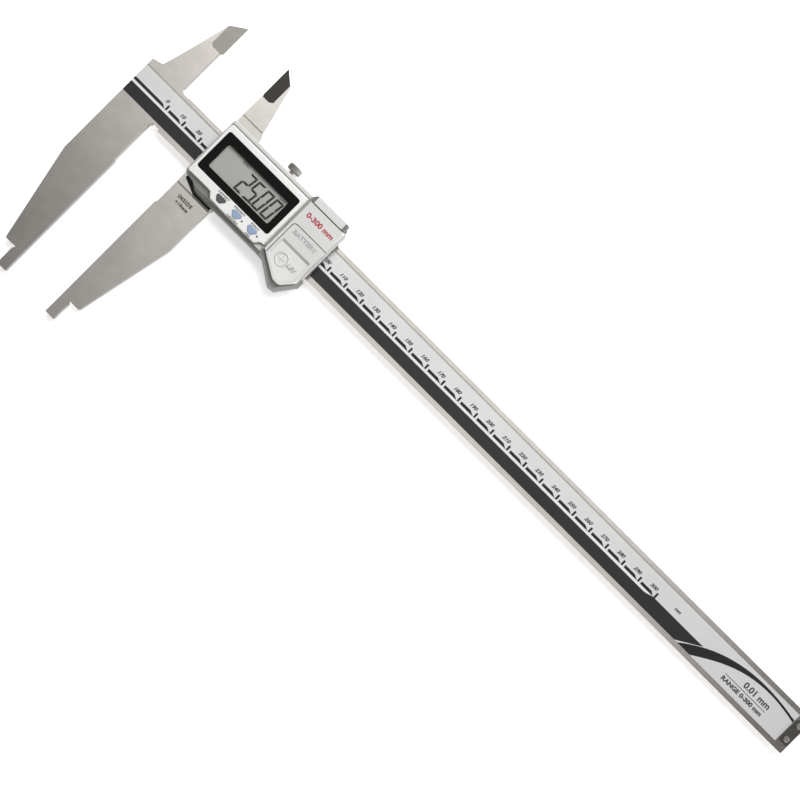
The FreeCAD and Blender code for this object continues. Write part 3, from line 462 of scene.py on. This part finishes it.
def scale_numbers():
    """The number of each tick, and the unit past the last one."""
    words = []
    for x in range(0, SCALE_END + 1, TICK_STEP):
        words.append((str(x), x - 1.45, 1.75, 1.6, "RIGHT", 0.3, 1.15))
    words.append(("mm", 311.2, 1.75, 1.45, "CENTER", 0.3, 1.05))
    lettering("scale_numbers", words, LABEL_Z, GREY_INK, "beam", weight=0.10)


def edge_line():
    """Dark printed border along the label's upper edge."""
    upper = line((BORDER_START, BORDER_TOP), (BORDER_END, BORDER_TOP), 4)
    lower = line((BORDER_START, BORDER_LOW), (BORDER_END, BORDER_LOW), 4)
    strips("edge_line", [(upper, lower)], LABEL_Z, BORDER_INK, "beam")


def lower_band():
    """Broad dark band; it rises to the last tick and ends on a long slant."""
    bend = (BAND_BEND, STRIPE_LOW)
    risen = (BAND_RISEN, STRIPE_TOP)
    main = (line((PRINT_START, STRIPE_LOW), bend, 4),
            line((PRINT_START, PRINT_LOW), (BAND_BEND, PRINT_LOW), 4))
    rise = (bezier(bend, (296.0, STRIPE_LOW), (297.2, -1.6), risen, 8),
            line((BAND_BEND, PRINT_LOW), (BAND_RISEN, PRINT_LOW), 8))
    end = (line(risen, (329.8, STRIPE_TOP), 4),
           line((BAND_RISEN, PRINT_LOW), (318.8, PRINT_LOW), 4))
    strips("lower_band", [main, rise, end], LABEL_Z, BAND_INK, "beam")


def white_stripe():
    """Bright line between the scale and the broad band."""
    high, low = STRIPE_TOP - 0.02, STRIPE_LOW + 0.02
    tip = 298.6
    main = (line((PRINT_START, high), (BAND_BEND, high), 4),
            line((PRINT_START, low), (BAND_BEND, low), 4))
    rise = (line((BAND_BEND, high), (tip, high), 8),
            bezier((BAND_BEND, low), (296.0, low), (297.2, -1.58), (tip, -1.1), 8))
    strips("white_stripe", [main, rise], LABEL_Z, WHITE_INK, "beam")


def curved_stripe():
    """Plain black stripe that sweeps up over the end of the scale."""
    upper = bezier((320.4, PRINT_LOW), (334.5, 3.5), (352.0, 9.55), (CURVE_END, 4.25), 40)
    lower = bezier((328.0, PRINT_LOW), (341.0, 0.6), (354.0, 8.75), (CURVE_END, 3.1), 40)
    strips("curved_stripe", [(upper, lower)], LABEL_Z, INK, "beam")


def end_words():
    """Resolution and range at the free end, with a thin rule between them."""
    left, right = 344.4, 368.2
    words = [
        ("0.01 mm", 361.0, -0.9, 2.9, "CENTER", 0.0, 1.05),
        ("RANGE 0-300 mm", left, -5.2, 1.95, "LEFT", 0.0, 1.14),
    ]
    lettering("end_words", words, LABEL_Z, GREY_INK, "beam", weight=0.14)
    rule = [(left, -2.4), (right, -2.4), (right, -2.1), (left, -2.1)]
    patches("end_line", [rule], LABEL_Z, GREY_INK, "beam")


# ---------------------------------------------------------------- display
DIGIT_LOW, DIGIT_MID, DIGIT_TOP = -3.85, 0.83, 5.5
DIGIT_WIDTH = 3.35
DIGIT_STARTS = (46.75, 51.9, 57.3, 62.6)
DIGIT_LEAN = 0.135
SEGMENT_HALF = 0.50       # half the width of a bar
SEGMENT_GAP = 0.06        # half the gap between two bars
SEGMENTS = {"0": "abcdef", "2": "abged", "5": "afgcd"}


def segment(kind, left):
    """One bar of a leaning seven-segment digit.  Its ends are mitred, the outer edge the longer."""
    half, gap = SEGMENT_HALF, SEGMENT_GAP
    x0, x1 = left, left + DIGIT_WIDTH
    if kind in "ad":
        y = DIGIT_TOP if kind == "a" else DIGIT_LOW
        out = half if kind == "a" else -half
        bar = [(x0 - half + gap, y + out), (x1 + half - gap, y + out),
               (x1 - half - gap, y - out), (x0 + half + gap, y - out)]
    elif kind == "g":
        y = DIGIT_MID
        bar = [(x0 + gap, y), (x0 + half + gap, y + half), (x1 - half - gap, y + half),
               (x1 - gap, y), (x1 - half - gap, y - half), (x0 + half + gap, y - half)]
    else:
        x, out = (x1, half) if kind in "bc" else (x0, -half)
        y, end = (DIGIT_TOP, 1) if kind in "bf" else (DIGIT_LOW, -1)
        bar = [(x + out, y + end * (half - gap)), (x - out, y - end * (half + gap)),
               (x - out, DIGIT_MID + end * (half + gap)), (x, DIGIT_MID + end * gap),
               (x + out, DIGIT_MID + end * gap)]
    return [(px + (py - DIGIT_LOW) * DIGIT_LEAN, py) for px, py in bar]


def display_reading():
    """The reading 25.00 with its point, and two faint words above it."""
    bars = []
    for digit, left in zip("2500", DIGIT_STARTS):
        bars += [segment(kind, left) for kind in SEGMENTS[digit]]
    point = [(55.7, -4.3), (56.6, -4.3), (56.7, -3.4), (55.8, -3.4)]
    patches("display_reading", bars + [point], LCD_Z, SEGMENT, "slider")
    words = [
        ("INC", 43.6, 6.4, 1.15, "CENTER", 0.15, 1.5),
        ("mm", 65.4, 6.4, 1.4, "CENTER", 0.15, 1.2),
    ]
    lettering("display_words", words, LCD_Z, FAINT_INK, "slider", weight=0.06)


# ---------------------------------------------------------------- words on the housings and jaws
BUTTON_X = {"offset": 46.4, "preset": 56.0, "zero": 65.4}
DOT_Y = -11.9
DOT_RADIUS = 0.45
DOT_SIDES = 16
BATTERY_X = 85.2          # middle of the battery housing


def dot(x):
    """A small round dot beside a button."""
    corners = [a * 2 * math.pi / DOT_SIDES for a in range(DOT_SIDES)]
    return [(x + DOT_RADIUS * math.cos(a), DOT_Y + DOT_RADIUS * math.sin(a)) for a in corners]


def housing_words():
    """The buttons' functions above and below them, two dots, and the range in red."""
    words = [
        ("OFFSET", BUTTON_X["offset"], -9.85, 0.95, "CENTER", 0.0, 1.55),
        ("PRESET", BUTTON_X["preset"], -9.85, 0.95, "CENTER", 0.0, 1.55),
        ("ZERO", BUTTON_X["zero"], -9.85, 0.95, "CENTER", 0.0, 1.45),
        ("ORIGIN", BUTTON_X["preset"], -14.6, 0.9, "CENTER", 0.0, 1.5),
        ("ABS", BUTTON_X["zero"], -14.6, 0.9, "CENTER", 0.0, 1.35),
    ]
    lettering("button_words", words, SHELL_Z, FAINT_INK, "slider", weight=0.055)
    patches("button_dots", [dot(59.7), dot(69.0)], SHELL_Z, GREY_INK, "slider")
    words = [("0-300 mm", BATTERY_X, 9.3, 2.45, "CENTER", 0.0, 1.1)]
    lettering("range_words", words, SHELL_Z, RED_INK, "slider", weight=0.12)


def lid_words():
    """Raised words on the battery lid, darker than the lid: painted shade for their edges.  Each
    starts a little below the lid's face there.
    """
    title = [("BATTERY", BATTERY_X, 0.35, 2.0, "CENTER", 0.0, 1.12)]
    lettering("lid_title", title, SHELL_Z - 0.1, SHADED_LID_MARK, "slider",
              thickness=0.30, weight=0.02, spacing=1.05, rounding=0.09)
    rating = [("1.5V", 88.9, -12.1, 1.9, "CENTER", 0.2, 0.95)]
    lettering("lid_rating", rating, SHELL_Z - 0.55, SHADED_LID_MARK, "slider",
              thickness=0.40, weight=0.02, spacing=1.05, rounding=0.09)


def jaw_words():
    """Filled engraving on the moving jaw's root."""
    words = [
        ("INSIDE", 34.6, -24.05, 1.75, "CENTER", 0.0, 0.92),
        ("+10mm", 34.9, -26.45, 1.45, "CENTER", 0.0, 1.0),
    ]
    lettering("jaw_words", words, STEEL_Z, ENGRAVED, "slider",
              thickness=0.008, weight=0.13, spacing=1.25)


# ---------------------------------------------------------------- edges
STEEL_EDGE = 0.12         # width of the broken edges on the steel
CAP_EDGE = 0.75           # and of the rounded ones on the buttons
SHARP_ANGLE = 35.0        # only edges sharper than this are broken, in degrees
SAME_POINT = 1e-7         # corners closer than this are one, in metres


def soften(name, width, segments):
    """Break the sharp edges of a CAD node without changing its size."""
    piece = nodes[name]
    weld = piece.modifiers.new("weld", "WELD")
    weld.merge_threshold = SAME_POINT
    bevel = piece.modifiers.new("bevel", "BEVEL")
    bevel.width = width / 1000
    bevel.segments = segments
    bevel.limit_method = "ANGLE"
    bevel.angle_limit = math.radians(SHARP_ANGLE)
    bevel.harden_normals = False


# ---------------------------------------------------------------- stage, light and camera
FLOOR_HALF = 6.0
FLOOR_GAP = 0.0004        # the floor lies this far below the object, in metres
FLOOR_GLOW = 0.55         # lifts the pale floor to white


def build_stage():
    """Plain white floor."""
    mesh = bpy.data.meshes.new("floor")
    corners = [(-1, -1), (1, -1), (1, 1), (-1, 1)]
    mesh.from_pydata([(x * FLOOR_HALF, y * FLOOR_HALF, 0) for x, y in corners], [], [(0, 1, 2, 3)])
    floor = bpy.data.objects.new("floor", mesh)
    floor.location.z = -FLOOR_GAP
    bpy.context.collection.objects.link(floor)
    material, _, shader = start_material("floor_white")
    shader.inputs["Base Color"].default_value = (0.92, 0.92, 0.92, 1)
    shader.inputs["Roughness"].default_value = 0.9
    shader.inputs["Specular IOR Level"].default_value = 0.1
    shader.inputs["Emission Color"].default_value = (1, 1, 1, 1)
    shader.inputs["Emission Strength"].default_value = FLOOR_GLOW
    mesh.materials.append(material)


def area_light(name, target, direction, distance, size, power, tone=(1, 1, 1)):
    """A square lamp that faces the target from a direction, at a distance in metres."""
    data = bpy.data.lights.new(name, "AREA")
    data.shape = "SQUARE"
    data.size = size
    data.energy = power
    data.color = tone
    lamp = bpy.data.objects.new(name, data)
    away = Vector(direction).normalized()
    lamp.location = target + away * distance
    lamp.rotation_euler = away.to_track_quat("Z", "Y").to_euler()
    bpy.context.collection.objects.link(lamp)
    return lamp


def world_ramp(tree, value, start, end, low, high):
    """A smooth step of one direction component."""
    node = tree.nodes.new("ShaderNodeMapRange")
    node.interpolation_type = "SMOOTHSTEP"
    node.inputs["From Min"].default_value = start
    node.inputs["From Max"].default_value = end
    node.inputs["To Min"].default_value = low
    node.inputs["To Max"].default_value = high
    tree.links.new(value, node.inputs["Value"])
    return node.outputs["Result"]


def product(tree, first, second):
    """Two values multiplied."""
    node = tree.nodes.new("ShaderNodeMath")
    node.operation = "MULTIPLY"
    tree.links.new(first, node.inputs[0])
    tree.links.new(second, node.inputs[1])
    return node.outputs["Value"]


SLANT = 0.6               # share of Y in the direction that runs towards the jaws


def build_world():
    """A wide soft light overhead, dimmer on the jaws' side and towards the beam's free end."""
    world = bpy.data.worlds.new("studio")
    bpy.context.scene.world = world
    world.use_nodes = True
    tree = world.node_tree
    tree.nodes.clear()
    output = tree.nodes.new("ShaderNodeOutputWorld")
    background = tree.nodes.new("ShaderNodeBackground")
    coord = tree.nodes.new("ShaderNodeTexCoord")
    split = tree.nodes.new("ShaderNodeSeparateXYZ")
    tree.links.new(coord.outputs["Generated"], split.inputs["Vector"])
    x, y = split.outputs["X"], split.outputs["Y"]
    slanted = tree.nodes.new("ShaderNodeMath")
    slanted.operation = "MULTIPLY_ADD"
    tree.links.new(y, slanted.inputs[0])
    slanted.inputs[1].default_value = SLANT
    tree.links.new(x, slanted.inputs[2])
    # Brighter towards the upper edge, dimmer again close to the horizon behind it.
    across = world_ramp(tree, y, -0.06, 0.14, 0.62, 1.50)
    back = world_ramp(tree, y, 0.35, 0.80, 1.0, 0.40)
    # Dim on the jaws' side and past the free end, so that the flat steel has soft gradients.
    left = world_ramp(tree, slanted.outputs["Value"], -0.32, -0.205, 0.235, 1.0)
    right = world_ramp(tree, x, 0.10, 0.25, 1.0, 0.12)
    # Close to the horizon: dimmer still on the jaws' side, brighter again past the free end.
    far_left = world_ramp(tree, x, -0.75, -0.45, 0.30, 1.0)
    far_right = world_ramp(tree, x, 0.25, 0.75, 1.0, 4.7)
    strength = across
    for ramp in (back, left, right, far_left, far_right):
        strength = product(tree, strength, ramp)
    tree.links.new(strength, background.inputs["Strength"])
    tree.links.new(background.outputs["Background"], output.inputs["Surface"])


LIGHT_CENTRE = (120.0, 0.0, 5.0)         # the lamps face this drawing position
KEY_FROM = (0.06, 0.56, 0.82)
FILL_FROM = (1.0, 0.15, 0.5)
FILL_TONE = (1.0, 0.99, 0.97)


def build_light():
    """A large soft key lamp above the upper edge and a weak fill from the free end."""
    centre = place(*LIGHT_CENTRE)
    key = area_light("key", centre, KEY_FROM, distance=1.5, size=1.0, power=21.5)
    # From low angles its reflection would make the flat steel as white as the floor.
    key.visible_glossy = False
    area_light("fill", centre, FILL_FROM, distance=1.6, size=0.8, power=3.0, tone=FILL_TONE)


CAMERA_AIM = (162.1, -18.1, 8.0)
CAMERA_DISTANCE = 0.7693  # metres
CAMERA_LEAN = 1.72        # degrees towards the free end of the beam
CAMERA_LENS = 80.0


def build_camera():
    """A camera nearly straight above the beam, turned so that the beam runs down to the right."""
    data = bpy.data.cameras.new("camera")
    data.lens = CAMERA_LENS
    data.sensor_width = 36.0
    data.clip_start = 0.01
    camera = bpy.data.objects.new("camera", data)
    bpy.context.collection.objects.link(camera)
    lean = math.radians(CAMERA_LEAN)
    back = Vector((math.sin(lean), 0.0, math.cos(lean)))
    up = Vector((-1.0, 1.0, 0.0)).normalized()
    right = up.cross(back).normalized()
    up = back.cross(right).normalized()
    turn = Matrix((right, up, back)).transposed().to_4x4()
    camera.matrix_world = Matrix.Translation(place(*CAMERA_AIM) + back * CAMERA_DISTANCE) @ turn
    bpy.context.scene.camera = camera


# ---------------------------------------------------------------- build
bpy.context.scene.view_settings.view_transform = "Standard"
dress_cad_nodes()
scale_bands()
scale_ticks()
scale_numbers()
edge_line()
lower_band()
white_stripe()
curved_stripe()
end_words()
display_reading()
housing_words()
lid_words()
jaw_words()
for steel_node in ("main_beam", "slider_frame"):
    soften(steel_node, STEEL_EDGE, 2)
for cap in ("button_offset", "button_preset", "button_zero"):
    soften(cap, CAP_EDGE, 5)
build_stage()
build_world()
build_light()
build_camera()
